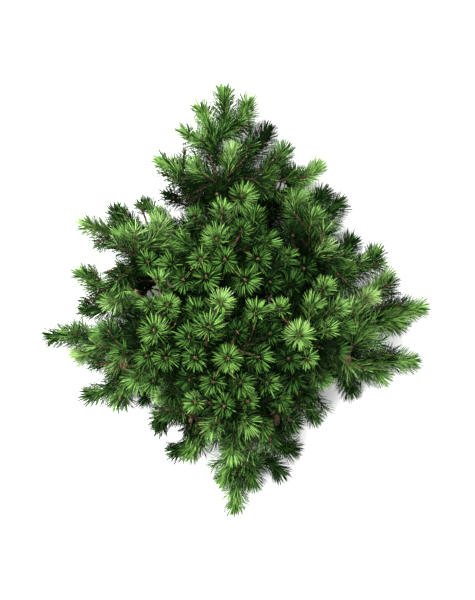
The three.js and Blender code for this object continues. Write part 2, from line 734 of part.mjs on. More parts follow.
function boughSolid(limb, limbs) {
  const bough = solidFrom(tube(limb.curve, 0, BOUGH_SHARE, limb.radiusAt, BOUGH_SIDES, BOUGH_STEPS));
  if (limb.carrier === "trunk") return mainBody(bough.subtract(solidFrom(trunkGeometry(GAP))));
  const carrier = limbs.find((other) => other.name === limb.carrier);
  const around = tube(carrier.curve, 0, BOUGH_SHARE, carrier.radiusAt, BOUGH_SIDES, BOUGH_STEPS, GAP);
  return mainBody(bough.subtract(solidFrom(around)));
}

function assemble() {
  const sites = crownSites();
  const limbs = growLimbs(sites);
  const walls = new Map(sites.map((site) => [site, wallsOf(site, sites)]));
  const buds = new Map(sites.map((site) => [site, []]));
  for (const target of crownBuds()) {
    const site = nearestSite(sites, target.point);
    settle(target.point, walls.get(site));
    buds.get(site).push(target);
  }
  addPiece("trunk", solidFrom(trunkGeometry()), BARK);
  for (const limb of limbs) {
    if (limb.name !== "top") addPiece(`bough_${limb.name}`, boughSolid(limb, limbs), BARK);
    const mass = growMass(limb, buds.get(limb.site), walls.get(limb.site), limbs);
    addPiece(`foliage_${limb.name}`, mass, NEEDLES);
  }
}

assemble();

export default pine;
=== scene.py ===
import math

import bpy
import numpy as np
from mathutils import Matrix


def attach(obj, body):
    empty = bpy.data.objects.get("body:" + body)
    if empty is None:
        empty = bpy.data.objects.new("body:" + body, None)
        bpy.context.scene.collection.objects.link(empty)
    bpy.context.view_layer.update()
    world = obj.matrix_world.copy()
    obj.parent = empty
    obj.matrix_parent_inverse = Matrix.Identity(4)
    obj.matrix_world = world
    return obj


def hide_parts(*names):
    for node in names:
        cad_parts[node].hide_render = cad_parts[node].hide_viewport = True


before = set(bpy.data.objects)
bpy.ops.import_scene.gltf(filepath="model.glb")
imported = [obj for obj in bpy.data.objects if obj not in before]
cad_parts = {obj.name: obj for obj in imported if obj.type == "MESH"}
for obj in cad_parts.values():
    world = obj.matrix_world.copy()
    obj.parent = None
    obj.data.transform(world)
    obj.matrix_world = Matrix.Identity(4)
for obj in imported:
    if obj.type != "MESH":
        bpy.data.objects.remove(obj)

# A dwarf mountain pine about a metre across, seen from above as in the photograph.
# The crown grows by the same rule as the model's solids, in millimetres, and is carried on to finer
# twigs, needles, buds and cones. Meshes are in metres.

MM = 0.001
GOLDEN_ANGLE = math.pi * (3 - math.sqrt(5))
UP = np.array([0.0, 0.0, 1.0])
STEEP = 0.9  # a direction this near to an axis takes another axis as its reference


# Rows of values under shared names
def table(names, rows):
    return {key: dict(zip(names, row)) for key, row in rows.items()}


# The crown, as in the model
CROWN_TOP = 672
CROWN_RIM = 205
CROWN_FULLNESS = 1.9
CROWN_CENTRE = np.array([-10.0, -92.0, 0.0])
LARGEST_REACH = 1000
HALVINGS = 20
BLEND_ANGLE = 11
LEAST_WEIGHT = 1e-6
# The outermost shoots of each rim mass: the bud's azimuth, its distance from the foot, how far the shoot
# turns from that azimuth, and how far the bud stands above the rim
RIM_SHOOTS = [
    [[98, 525, 22, -10], [92, 550, 0, 20], [86, 531, -4, 0]],
    [[80, 474, -18, -45], [73, 429, -11, 0], [66, 389, 38, -45]],
    [[60, 422, -5, 10], [54, 380, -10, -45], [47, 389, -8, -55]],
    [[32, 350, 28, -45], [23, 383, 52, 25], [15, 388, 35, 0]],
    [[3, 462, 5, -15], [-1, 403, -4, 30]],
    [[-14, 453, 6, -5], [-21, 385, -21, 30]],
    [[-30, 344, -45, -50], [-50, 305, -10, 20]],
    [[-62, 300, 22, -55], [-67, 355, 59, -40], [-73, 389, 13, 0]],
    [[-83, 395, -2, 30], [-89, 457, -4, -10], [-92, 390, -33, 0]],
    [[-105, 348, -23, -20], [-112, 357, -53, -35], [-125, 312, 20, -10]],
    [[-145, 347, 35, 0], [-151, 393, -20, 10]],
    [[-166, 377, -14, 30], [-174, 442, 2, 0]],
    [[178, 358, -15, -40], [164, 380, -15, 15]],
    [[147, 424, 10, 15], [138, 388, -23, -35], [127, 345, 18, -5]],
    [[113, 423, 39, 0], [104, 472, 48, 10]],
]
OUTER_SHOOTS = [shoot for mass in RIM_SHOOTS for shoot in mass]
MIDDLE_TIER = {"name": "middle", "count": 7, "share": 0.62, "depth": 95, "turn": 92}
UPPER_TIER = {"name": "upper", "count": 4, "share": 0.34, "depth": 90, "turn": 92}
RIM_SITE = {"share": 0.7, "height": 205}
TOP_SITE_DEPTH = 95

# Buds: the outermost at the rim, three rings round the sides and a field over the top. A tone counts the
# steps by which a shoot is darker: low rim shoots, lower rings and the field away from the top are painted
# shade
OUTERMOST = {"lift": 0.32, "lift_spread": 0.12}
SHADED_LOW_RIM = {"rise": -30, "tone": 2}
RINGS = [
    {"count": 26, "share": 0.71, "rise": 190, "lift": 0.6, "tone": 0},
    {"count": 22, "share": 0.75, "rise": 80, "lift": 0.4, "tone": 1},
    {"count": 22, "share": 0.72, "rise": -90, "lift": 0.22, "tone": 2},
]
RING_SPREAD = {"turn": 0.3, "share": 0.05, "height": 34}
FIELD = {"spacing": 60, "share": 0.61, "spread": 26, "lean": 0.42, "lift_spread": 0.1}
# Field shoots near the top keep the lighter tone; those further out are painted a tone darker as shade
FIELD_LIT_SHARE = 0.2
ROW_SPACING = math.sqrt(0.75)
CROWN_SEED = 2207
BUD_SPACING = 58
SPREADING_ROUNDS = 10
WALL_CLEARANCE = 13
SETTLING_ROUNDS = 3
NEEDLE_OVERHANG = 24

# Shoots, as the model places them
SHOOT_LENGTH = 60
LARGEST_NEEDLED_SHARE = 0.8
CORE_RADIUS = 8.2
COLLAR_AT = 0.3
COLLAR_ON_BARE = 0.6
SHOOT_HANDLES = {"root": 0.25, "way": 0.12, "tip": 0.42}
STEM_JOINTS = [0.16, 0.3, 0.44, 0.57, 0.69, 0.8, 0.9, 1]
TURN_COST = 0.8
STEM_PENALTY = 12
SHOOT_PENALTY = 20
REUSE_PENALTY = 60
JOINTS_TRIED = 5
LIMB_SPACE = 4
SHOOT_SPACE = 6
LOWEST_NEEDLE = 25
CURVE_STATIONS = [0.35, 0.5, 0.6, 0.7, 0.8, 0.9, 1]
CLEAR_OF_SHOOTS_FROM = 0.5
BALLS_FROM = 0.12
BALLS = {"limb": 21, "stem": 7, "shoot": 12}
TRUNK_BALL_STEP = 15
GAP = 0.35

# Trunk and boughs
TRUNK_HEIGHT = 505
TRUNK_RADIUS = 31
TRUNK_TIP_RADIUS = 7
TRUNK_TAPER = 0.9
TRUNK_BEND = 16
TRUNK_LEAN = 1.4
FLARE = 15
FLARE_HEIGHT = 26
FLARE_RIBS = {"count": 5, "depth": 0.28}
RIM_BOUGHS = {"heights": [62, 96], "rise": 6, "arrival": 44, "radius": 13.5}
MIDDLE_BOUGHS = {"heights": [150, 189, 228, 176, 215, 163, 202], "rise": 30, "arrival": 68, "radius": 11}
UPPER_BOUGHS = {"heights": [300, 330], "rise": 42, "arrival": 76, "radius": 8.5}
SIDE_BOUGH = {"fork_at": 0.36, "along": 0.25, "rise": 4, "arrival": 46, "width": 0.82}
BOUGH_HANDLES = {"root": 0.38, "tip": 0.36}
BOUGH_SHARE = 0.7
BOUGH_TAPER = 0.8
STEM_TIP_RADIUS = 5.4
STEM_STEPS = 2

# Finer twigs: on the shoots, along the boughs, and on the trunk inside the crown. Each tip keeps within a
# share of the crown's reach and clear of its mass's walls, or goes past them where that is negative
HABITS = table(
    ["length", "spread", "angle", "lift", "tries", "most", "apart", "share", "clearance"],
    {
        "side": [62, 0.35, 46, 0.3, 8, 3, 34, 0.95, 12],
        "inner": [70, 0.3, 55, 0.6, 60, 20, 30, 0.8, -60],
        "trunk": [105, 0.3, 70, 0.5, 90, 40, 30, 0.8, -200],
    },
)
FINER_HANDLE = 0.35
FINER_NEEDLED = 0.72
FINER_SEED = 9100
SIDE_FROM = 0.25
SIDE_PAST_NEEDLES = 0.55
INNER_FROM = {"bough": 0.22, "top": 0.05}
INNER_TO = 0.97
TRUNK_SHOOTS_FROM = 250
BALLS_SKIPPED = {"shoot": 3, "finer": 4}

# Needle blades, slim, folded along the middle and bending forward to a point. Each row of stations: how far
# along the needle, how wide, how far it has bent
FULL_BLADE = [(0.0, 0.7, 0.0), (0.38, 1.0, 0.12), (0.84, 0.85, 0.66)]
SPARE_BLADE = [(0.0, 0.8, 0.0), (0.7, 1.0, 0.45)]
BLADE_FOLD = 0.55

# Brushes of needles: lengths in millimetres, angles in degrees off the shoot's axis, density a millimetre
NEEDLE = 44
LENGTH_SPREAD = (0.92, 1.08)
FEWEST_NEEDLES = 4
PAIR_SPLAY = 0.12
TURN_SPREAD = 0.1
FRONT_POWER = 0.8
AXIS_RADIUS = 1.2
OFF_AXIS = np.array([0.31, 0.17, 0.94])
# Of the columns, the base of each blade is painted darker by some steps as shade, and a share of the
# needles at the rear of the brush one step darker as painted shade
GROWTHS = table(
    [
        "rear", "front", "front_from", "spread", "density", "length", "radius",
        "bend", "crowding", "shaded", "rear_shade", "vary", "blade",
    ],
    {
        "rim": [56, 16, 0.7, 5, 5.6, 1.1, 1.05, 0.04, 1.5, 1, 0.2, 0.04, FULL_BLADE],
        "open": [60, 6, 0.38, 5, 3.7, 0.88, 0.64, 0.05, 1.4, 2, 0.45, 0.17, FULL_BLADE],
        "side": [56, 20, 0.78, 5, 1.4, 0.8, 1.0, 0.05, 1.1, 1, 0.3, 0.08, SPARE_BLADE],
        "inner": [58, 24, 0.6, 7, 1.4, 1.0, 1.45, 0.05, 1.0, 1, 0.3, 0.08, SPARE_BLADE],
        "old": [58, 58, 0.78, 5, 2.2, 0.95, 1.1, 0.04, 1, 1, 0.0, 0.06, SPARE_BLADE],
        "old_rim": [56, 56, 0.78, 5, 3.5, 1.04, 1.1, 0.04, 1, 1, 0.0, 0.04, SPARE_BLADE],
    },
)
NEEDLED = 66
NEEDLES_TO = 0.995
OLD_REACH = 80
OLD_FROM = 0.1
INTERLACING = {"main": 20, "side": 14, "inner": 60, "trunk": 200}  # how far tips pass their mass's walls
# Gaps through which the floor shows from above: places in plan with their radii
CLEARINGS = [(-192, 62, 24), (-307, 125, 22), (-213, 243, 14), (125, 335, 15), (-142, -298, 12)]
LOWEST_TIP = 6
HIGHEST_TIP = 722

# Tones of the needles, from the brightest to the darkest: linear colour and shine. The darker tones serve
# partly as the needles' own darkening with age and partly as painted shade inside the crown; 'shade' is
# painted shade
TONES = {
    "light": ((0.23, 0.35, 0.112), 0.6),
    "bright": ((0.141, 0.275, 0.055), 0.46),
    "mid": ((0.075, 0.172, 0.028), 0.22),
    "deep": ((0.027, 0.078, 0.013), 0.07),
    "old": ((0.0065, 0.0205, 0.004), 0.03),
    "shade": ((0.0018, 0.0055, 0.0014), 0.01),
}
NEEDLE_ROUGHNESS = (0.3, 0.56)
# Needles by zone: the chances of each tone for a shoot's newest needles, how those grow, and on the crown's
# own shoots how the older ones grow and by how many steps they are darker, partly with age and partly as
# painted shade. The dark tones of side, inner and trunk shoots are painted shade inside the crown
OPEN_CHANCES = [0.04, 0.42, 0.38, 0.13, 0.03, 0.0]
ZONES = table(
    ["chances", "newest", "older", "age_and_shade_steps"],
    {
        "rim": [[0.0, 0.24, 0.58, 0.18, 0.0, 0.0], "rim", "old_rim", 1],
        "ring": [OPEN_CHANCES, "open", "old", 2],
        "field": [OPEN_CHANCES, "open", "old", 3],
        "side": [[0.0, 0.04, 0.26, 0.45, 0.25, 0.0], "side"],
        "inner": [[0.0, 0.0, 0.0, 0.0, 0.4, 0.6], "inner"],
        "trunk": [[0.0, 0.0, 0.0, 0.0, 0.2, 0.8], "inner"],
    },
)
# Chances that one needle is some steps darker than its shoot
TONE_SHIFTS = {-1: 0.31, 0: 0.28, 1: 0.22, 2: 0.19}
# Deep places of the crown, in plan with their radii, whose shoots are painted a tone darker as shade
SHADED_HOLLOWS = [(75, 70, 60), (-67, 330, 80), (90, -160, 90)]
ALONG_Y = 0.85  # rim and ring shoots that head along Y by more than this share are a tone darker

SEEDS = {"trunk": 11, "boughs": 40, "twigs": 77, "needles": 5, "buds": 301, "cones": 88}


# A repeatable source of numbers from 0 to 1, as in the model
def seeded(seed):
    state = seed

    def draw():
        nonlocal state
        state = (state * 1664525 + 1013904223) % 4294967296
        return state / 4294967296

    return draw


def around(middle, spread, draw):
    return middle + spread * (draw() - 0.5)


def lerp(a, b, share):
    return a + (b - a) * share


def unit(vectors):
    return vectors / np.linalg.norm(vectors, axis=-1, keepdims=True)


# The first of two directions, which are square to each other, turned toward the second
def turned(first, second, angles):
    angles = np.asarray(angles, float)[..., None]
    return first * np.cos(angles) + second * np.sin(angles)


def circle(sides):
    return np.linspace(0, 2 * math.pi, sides, endpoint=False)


def outward(azimuth):
    return np.array([math.cos(math.radians(azimuth)), math.sin(math.radians(azimuth)), 0.0])


def azimuth_of(vector):
    return math.degrees(math.atan2(vector[1], vector[0]))


def heading_of(azimuth, elevation):
    level = outward(azimuth) * math.cos(math.radians(elevation))
    return level + UP * math.sin(math.radians(elevation))


def at_height(point, z):
    return np.array([point[0], point[1], z])


class Curve:
    """A cubic Bezier curve, read at shares t from 0 to 1."""

    DELTA = 0.0001
    DIVISIONS = 200

    def __init__(self, *controls):
        self.controls = np.array(controls, float)

    @classmethod
    def line(cls, start, end):
        return cls(start, start + (end - start) / 3, start + (end - start) * 2 / 3, end)

    def points(self, t):
        t = np.asarray(t, float)[..., None]
        a, b, c, d = self.controls
        return (1 - t) ** 3 * a + 3 * (1 - t) ** 2 * t * b + 3 * (1 - t) * t**2 * c + t**3 * d

    def tangents(self, t):
        t = np.asarray(t, float)
        ahead = np.minimum(t + self.DELTA, 1)
        behind = np.maximum(t - self.DELTA, 0)
        return unit(self.points(ahead) - self.points(behind))

    def length(self):
        places = self.points(np.linspace(0, 1, self.DIVISIONS + 1))
        return float(np.linalg.norm(np.diff(places, axis=0), axis=1).sum())


# The crown's surface

def crown_reach(azimuth):
    total = 0.0
    weights = 0.0
    for at, distance, _, _ in OUTER_SHOOTS:
        apart = math.fmod(azimuth - at + 540, 360) - 180
        weight = math.exp(-((apart / BLEND_ANGLE) ** 2)) + LEAST_WEIGHT
        total += weight * (distance + NEEDLE_OVERHANG)
        weights += weight
    return total / weights


def crown_height(share):
    return CROWN_RIM + (CROWN_TOP - CROWN_RIM) * (1 - share**CROWN_FULLNESS)


def crown_point(azimuth, share):
    rim = outward(azimuth) * crown_reach(azimuth)
    return at_height(lerp(CROWN_CENTRE, rim, share), crown_height(share))


# Buds of the crown, each with its place and the heading of its shoot

def bud(point, azimuth, lift, tone, zone):
    heading = unit(outward(azimuth) * (1 - lift) + UP * lift)
    return {"point": point, "heading": heading, "tone": tone, "zone": zone}


def rim_buds(draw):
    buds = []
    for azimuth, distance, turn, rise in OUTER_SHOOTS:
        point = at_height(outward(azimuth) * distance, CROWN_RIM + rise)
        lift = around(OUTERMOST["lift"], OUTERMOST["lift_spread"], draw)
        # Low rim shoots are painted darker as shade
        tone = SHADED_LOW_RIM["tone"] if rise < SHADED_LOW_RIM["rise"] else 0
        buds.append(bud(point, azimuth + turn, lift, tone, "rim"))
    return buds


def ring_buds(ring, draw):
    buds = []
    for i in range(ring["count"]):
        azimuth = around(i + 0.5, RING_SPREAD["turn"], draw) * 360 / ring["count"]
        reach = crown_reach(azimuth) * around(ring["share"], RING_SPREAD["share"], draw)
        height = around(CROWN_RIM + ring["rise"], RING_SPREAD["height"], draw)
        point = at_height(outward(azimuth) * reach, height)
        buds.append(bud(point, azimuth, ring["lift"], ring["tone"], "ring"))
    return buds


def edge_distance(azimuth):
    inside, outside = 0.0, LARGEST_REACH
    for _ in range(HALVINGS):
        middle = (inside + outside) / 2
        point = outward(azimuth) * middle + CROWN_CENTRE
        if math.hypot(*point) < crown_reach(azimuth_of(point)):
            inside = middle
        else:
            outside = middle
    return inside


def field_buds(draw):
    buds = []
    rows = math.ceil(LARGEST_REACH / FIELD["spacing"])
    for row in range(-rows, rows + 1):
        for column in range(-rows, rows + 1):
            x = (column + 0.5 * (row & 1)) * FIELD["spacing"]
            y = row * FIELD["spacing"] * ROW_SPACING
            azimuth = azimuth_of((x, y))
            share = math.hypot(x, y) / edge_distance(azimuth)
            if share > FIELD["share"]:
                continue
            place = [around(middle, FIELD["spread"], draw) for middle in (x, y, crown_height(share))]
            lift = around(1 - FIELD["lean"] * share, FIELD["lift_spread"], draw)
            # Painted shade: field shoots away from the top are a tone darker
            tone = 0 if share < FIELD_LIT_SHARE else 1
            buds.append(bud(np.array(place) + CROWN_CENTRE, azimuth, lift, tone, "field"))
    return buds


def spread_out(buds):
    fixed = len(OUTER_SHOOTS)
    places = [list(target["point"]) for target in buds]
    for _ in range(SPREADING_ROUNDS):
        for i, here in enumerate(places):
            for k in range(max(i + 1, fixed), len(places)):
                there = places[k]
                distance = math.dist(here, there)
                short = BUD_SPACING - distance
                if short <= 0:
                    continue
                push = [(b - a) * short / 2 / distance for a, b in zip(here, there)]
                for axis in range(3):
                    there[axis] += push[axis]
                    if i >= fixed:
                        here[axis] -= push[axis]
    for target, place in zip(buds, places):
        target["point"] = np.array(place)
    return buds


def crown_buds():
    draw = seeded(CROWN_SEED)
    buds = rim_buds(draw)
    for ring in RINGS:
        buds += ring_buds(ring, draw)
    buds += field_buds(draw)
    return spread_out(buds)


# Spaces of the masses: each keeps to the points that lie nearer to its own site than to any other

def crown_sites():
    sites = []
    for i, mass in enumerate(RIM_SHOOTS, 1):
        azimuth = (mass[0][0] + mass[-1][0]) / 2
        point = outward(azimuth) * crown_reach(azimuth) * RIM_SITE["share"]
        sites.append({"name": f"rim_{i}", "point": at_height(point, RIM_SITE["height"])})
    for tier in (MIDDLE_TIER, UPPER_TIER):
        for i in range(tier["count"]):
            point = crown_point(tier["turn"] + i * 360 / tier["count"], tier["share"])
            sites.append({"name": f"{tier['name']}_{i + 1}", "point": point - UP * tier["depth"]})
    top = at_height(crown_point(0, 0), CROWN_TOP - TOP_SITE_DEPTH)
    sites.append({"name": "top", "point": top})
    return sites


class Walls:
    """The walls of one site's space. The distance inside them is positive."""

    def __init__(self, site, sites):
        others = np.array([other["point"] for other in sites if other is not site])
        self.across = unit(others - site["point"])
        self.halfway = (others + site["point"]) / 2

    def inside(self, points):
        apart = self.halfway - np.asarray(points)[..., None, :]
        return (apart * self.across).sum(-1).min(-1)

    def settle(self, point):
        for _ in range(SETTLING_ROUNDS):
            for across, halfway in zip(self.across, self.halfway):
                short = WALL_CLEARANCE - (halfway - point) @ across
                if short > 0:
                    point = point - across * short
        return point


# Limbs: the trunk's axis, and a curve for each bough that runs on as the stem of its mass

def trunk_point(z):
    rise = z / TRUNK_HEIGHT
    sway = TRUNK_BEND * math.sin(math.pi * 2 * rise)
    lean = CROWN_CENTRE * rise**TRUNK_LEAN
    return np.array([lean[0] + sway, lean[1] + sway / 2, z])


def trunk_radius(z):
    return lerp(TRUNK_RADIUS, TRUNK_TIP_RADIUS, (z / TRUNK_HEIGHT) ** TRUNK_TAPER)


def new_limb(site, root, leaving, arrival, root_radius):
    end = site["point"]
    span = np.linalg.norm(end - root)
    handle = root + leaving * span * BOUGH_HANDLES["root"]
    arriving = heading_of(azimuth_of(end - root), arrival)
    return {
        "name": site["name"],
        "site": site,
        "curve": Curve(root, handle, end - arriving * span * BOUGH_HANDLES["tip"], end),
        "radius": lambda t: lerp(root_radius, STEM_TIP_RADIUS, np.asarray(t, float) ** BOUGH_TAPER),
    }


def carried_by_trunk(site, i, tier):
    root = trunk_point(tier["heights"][i % len(tier["heights"])])
    leaving = heading_of(azimuth_of(site["point"] - root), tier["rise"])
    return new_limb(site, root, leaving, tier["arrival"], tier["radius"])


def carried_by_bough(site, carrier):
    fork = SIDE_BOUGH["fork_at"]
    root = carrier["curve"].points(fork)
    leaving = heading_of(azimuth_of(site["point"] - root), SIDE_BOUGH["rise"])
    leaving = unit(lerp(leaving, carrier["curve"].tangents(fork), SIDE_BOUGH["along"]))
    radius = float(carrier["radius"](fork)) * SIDE_BOUGH["width"]
    return new_limb(site, root, leaving, SIDE_BOUGH["arrival"], radius)


def in_tier(sites, name):
    return enumerate(site for site in sites if site["name"].startswith(name))


def grow_limbs(sites):
    limbs = []
    for i, site in in_tier(sites, "rim"):
        if i % 2:
            limbs.append(carried_by_bough(site, limbs[-1]))
        else:
            limbs.append(carried_by_trunk(site, i // 2, RIM_BOUGHS))
    for name, tier in (("middle", MIDDLE_BOUGHS), ("upper", UPPER_BOUGHS)):
        for i, site in in_tier(sites, name):
            limbs.append(carried_by_trunk(site, i, tier))
    top = sites[-1]
    limbs.append({
        "name": top["name"],
        "site": top,
        "curve": Curve.line(trunk_point(TRUNK_HEIGHT), top["point"]),
        "radius": lambda t: lerp(TRUNK_TIP_RADIUS, STEM_TIP_RADIUS, np.asarray(t, float)),
    })
    return limbs


def stem_start(limb):
    start = 0 if limb["name"] == "top" else BOUGH_SHARE
    return start + GAP / limb["curve"].length()


# Placing the shoots

class Balls:
    """Balls that fill what is already there, so that what grows next keeps off it."""

    def __init__(self):
        self.points = np.zeros((0, 3))
        self.radii = np.zeros(0)

    def add(self, points, radii):
        self.points = np.vstack([self.points, points])
        self.radii = np.append(self.radii, np.broadcast_to(radii, len(points)))

    def off(self, point, radius, clearance):
        apart = np.linalg.norm(self.points - point, axis=1)
        return bool((apart > self.radii + radius + clearance).all())


def limb_balls(limb, limbs):
    balls = Balls()
    for other in limbs:
        t = np.linspace(0, BOUGH_SHARE if other is limb else 1, BALLS["limb"])
        balls.add(other["curve"].points(t), other["radius"](t))
    for z in range(0, TRUNK_HEIGHT + 1, TRUNK_BALL_STEP):
        balls.add(trunk_point(z)[None], trunk_radius(z))
    return balls


def is_curve_free(curve, walls, balls, clearance, start):
    for point in (curve.points(t) for t in CURVE_STATIONS if t >= start):
        is_inside = point[2] > LOWEST_NEEDLE + CORE_RADIUS and walls.inside(point) > CORE_RADIUS + GAP
        if not (is_inside and balls.off(point, CORE_RADIUS, clearance)):
            return False
    return True


def joint_cost(joint, target):
    way = target["point"] - joint["point"]
    distance = np.linalg.norm(way)
    return distance * (1 + TURN_COST * (1 - way @ joint["along"] / distance)) + joint["penalty"]


def shoot_curve(joint, target):
    way = target["point"] - joint["point"]
    span = np.linalg.norm(way)
    handle = joint["point"] + joint["along"] * span * SHOOT_HANDLES["root"] + way * SHOOT_HANDLES["way"]
    rear = target["point"] - target["heading"] * span * SHOOT_HANDLES["tip"]
    return Curve(joint["point"], handle, rear, target["point"])


def stem_joint(curve, start, u):
    ring = min(int(u * STEM_STEPS), STEM_STEPS - 1)
    ends = [curve.points(lerp(start, 1, k / STEM_STEPS)) for k in (ring, ring + 1)]
    return {
        "point": lerp(ends[0], ends[1], u * STEM_STEPS - ring),
        "along": curve.tangents(lerp(start, 1, u)),
        "penalty": STEM_PENALTY if u < 1 else 0,
    }


def bare_share(curve):
    return 1 - min(LARGEST_NEEDLED_SHARE, SHOOT_LENGTH / curve.length())


def core_points(curve):
    return curve.points(np.linspace(BALLS_FROM, 1, BALLS["shoot"]))


def main_shoot(target, curve):
    return {**target, "curve": curve, "kind": "main", "needled": 1 - bare_share(curve)}


def place_shoots(limb, start, buds, walls, off_limbs):
    joints = [stem_joint(limb["curve"], start, u) for u in STEM_JOINTS]
    t = np.linspace(start, 1, BALLS["stem"])
    taken = Balls()
    taken.add(limb["curve"].points(t), limb["radius"](t))
    shoots = []
    left_out = []
    for target in sorted(buds, key=lambda target: math.dist(limb["site"]["point"], target["point"])):
        for joint in sorted(joints, key=lambda joint: joint_cost(joint, target))[:JOINTS_TRIED]:
            curve = shoot_curve(joint, target)
            if not is_curve_free(curve, walls, off_limbs, LIMB_SPACE, 0):
                continue
            if is_curve_free(curve, walls, taken, SHOOT_SPACE, CLEAR_OF_SHOOTS_FROM):
                break
        else:
            left_out.append(target)
            continue
        joint["penalty"] += REUSE_PENALTY
        shoots.append(main_shoot(target, curve))
        collar = min(COLLAR_AT, COLLAR_ON_BARE * bare_share(curve))
        joints.append({
            "point": curve.points(collar),
            "along": curve.tangents(collar),
            "penalty": SHOOT_PENALTY,
        })
        taken.add(core_points(curve), CORE_RADIUS)
    # Needles find room where a solid shoot has none
    for target in left_out:
        joint = min(joints, key=lambda joint: joint_cost(joint, target))
        shoots.append(main_shoot(target, shoot_curve(joint, target)))
    return shoots


# The finer twigs, which the solids leave out: each leaves its bearer, turns up and ends free

def frame_about(along):
    reference = UP if abs(along[2]) < STEEP else np.array([1.0, 0.0, 0.0])
    side = unit(np.cross(along, reference))
    return side, np.cross(along, side)


def finer_shoot(bearer, t, turn, habit, draw):
    along = bearer.tangents(t)
    out = turned(*frame_about(along), turn)
    leaving = turned(along, out, math.radians(habit["angle"]))
    length = around(habit["length"], habit["length"] * habit["spread"], draw)
    arriving = unit(leaving + UP * habit["lift"])
    root = bearer.points(t)
    end = root + unit(leaving + arriving) * length
    handle = length * FINER_HANDLE
    return Curve(root, root + leaving * handle, end - arriving * handle, end)


def is_off_clearings(points):
    is_off = [np.hypot(points[..., 0] - x, points[..., 1] - y) > radius for x, y, radius in CLEARINGS]
    return np.all(is_off, axis=0)


def has_room(tip, habit, space):
    return (
        tip[2] > LOWEST_NEEDLE + NEEDLE / 2
        and space["walls"].inside(tip) > habit["clearance"]
        and math.hypot(tip[0], tip[1]) < habit["share"] * crown_reach(azimuth_of(tip))
        and space["off_limbs"].off(tip, CORE_RADIUS, LIMB_SPACE)
        and is_off_clearings(tip)
        and space["taken"].off(tip, 0, habit["apart"] - CORE_RADIUS)
    )


def grow_finer(bearer, start, end, kind, space):
    habit = HABITS[kind]
    draw = space["draw"]
    grown = []
    for i in range(habit["tries"]):
        t = lerp(start, end, (i + draw()) / habit["tries"])
        curve = finer_shoot(bearer, t, GOLDEN_ANGLE * i + 2 * draw(), habit, draw)
        if not has_room(curve.points(1), habit, space):
            continue
        grown.append({"curve": curve, "kind": kind, "needled": FINER_NEEDLED, "tone": 0, "zone": kind})
        space["taken"].add(core_points(curve)[BALLS_SKIPPED["finer"]:], CORE_RADIUS)
        if len(grown) == habit["most"]:
            break
    return grown


def grow_mass(limb, index, buds, walls, limbs):
    off_limbs = limb_balls(limb, limbs)
    start = stem_start(limb)
    shoots = place_shoots(limb, start, buds, walls, off_limbs)
    taken = Balls()
    for shoot in shoots:
        taken.add(core_points(shoot["curve"])[BALLS_SKIPPED["shoot"]:], CORE_RADIUS)
    space = {"walls": walls, "off_limbs": off_limbs, "taken": taken, "draw": seeded(FINER_SEED + index)}
    for shoot in [shoot for shoot in shoots if shoot["zone"] != "field"]:
        end = 1 - SIDE_PAST_NEEDLES * shoot["needled"]
        shoots += grow_finer(shoot["curve"], SIDE_FROM, end, "side", space)
    inner_from = INNER_FROM["top" if limb["name"] == "top" else "bough"]
    shoots += grow_finer(limb["curve"], inner_from, INNER_TO, "inner", space)
    if limb["name"] == "top":
        axis = Curve.line(trunk_point(TRUNK_SHOOTS_FROM), trunk_point(TRUNK_HEIGHT))
        shoots += grow_finer(axis, 0, 1, "trunk", space)
    return {"limb": limb, "shoots": shoots, "walls": walls, "start": start}


def grow_plant():
    sites = crown_sites()
    limbs = grow_limbs(sites)
    walls = [Walls(site, sites) for site in sites]
    places = np.array([site["point"] for site in sites])
    buds = [[] for _ in sites]
    for target in crown_buds():
        nearest = int(np.linalg.norm(places - target["point"], axis=1).argmin())
        target["point"] = walls[nearest].settle(target["point"])
        buds[nearest].append(target)
    return [grow_mass(limb, i, buds[i], walls[i], limbs) for i, limb in enumerate(limbs)]


# Meshes from arrays

def new_object(name, data):
    thing = bpy.data.objects.new(name, data)
    bpy.context.scene.collection.objects.link(thing)
    return thing


class Batch:
    """Vertices and triangles gathered for one piece, each triangle with the number of its material."""

    def __init__(self):
        self.vertices = []
        self.triangles = []
        self.materials = []
        self.count = 0

    def add(self, vertices, triangles, materials):
        self.vertices.append(np.asarray(vertices, np.float32).reshape(-1, 3))
        self.triangles.append(np.asarray(triangles, np.int32).reshape(-1, 3) + self.count)
        self.materials.append(np.broadcast_to(np.asarray(materials, np.int32), len(self.triangles[-1])))
        self.count += len(self.vertices[-1])

    def piece(self, name, materials, slot, replaced=()):
        vertices = np.vstack(self.vertices) * MM
        triangles = np.vstack(self.triangles)
        mesh = bpy.data.meshes.new(name)
        mesh.vertices.add(len(vertices))
        mesh.vertices.foreach_set("co", vertices.ravel())
        mesh.loops.add(triangles.size)
        mesh.loops.foreach_set("vertex_index", triangles.ravel())
        mesh.polygons.add(len(triangles))
        mesh.polygons.foreach_set("loop_start", np.arange(0, triangles.size, 3, dtype=np.int32))
        mesh.polygons.foreach_set("material_index", np.concatenate(self.materials))
        mesh.polygons.foreach_set("use_smooth", np.ones(len(triangles), bool))
        for material in materials:
            mesh.materials.append(material)
        mesh.update(calc_edges=True)
        mesh.validate()
        piece = new_object(name, mesh)
        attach(piece, "root")
        if replaced:
            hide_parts(*replaced)


# A grid of rings closed round and at both ends
def ringed(rings):
    rings = np.asarray(rings)
    count, sides = rings.shape[:2]
    here = np.arange(count * sides).reshape(count, sides)
    ahead = np.roll(here, -1, axis=1)
    a, b, c, d = (corners.ravel() for corners in (here[:-1], ahead[:-1], ahead[1:], here[1:]))
    middle = np.full(sides, count * sides)
    triangles = [[a, b, c], [a, c, d], [middle, ahead[0], here[0]], [middle + 1, here[-1], ahead[-1]]]
    vertices = np.vstack([rings.reshape(-1, 3), rings[0].mean(0), rings[-1].mean(0)])
    return vertices, np.vstack([np.column_stack(corners) for corners in triangles])


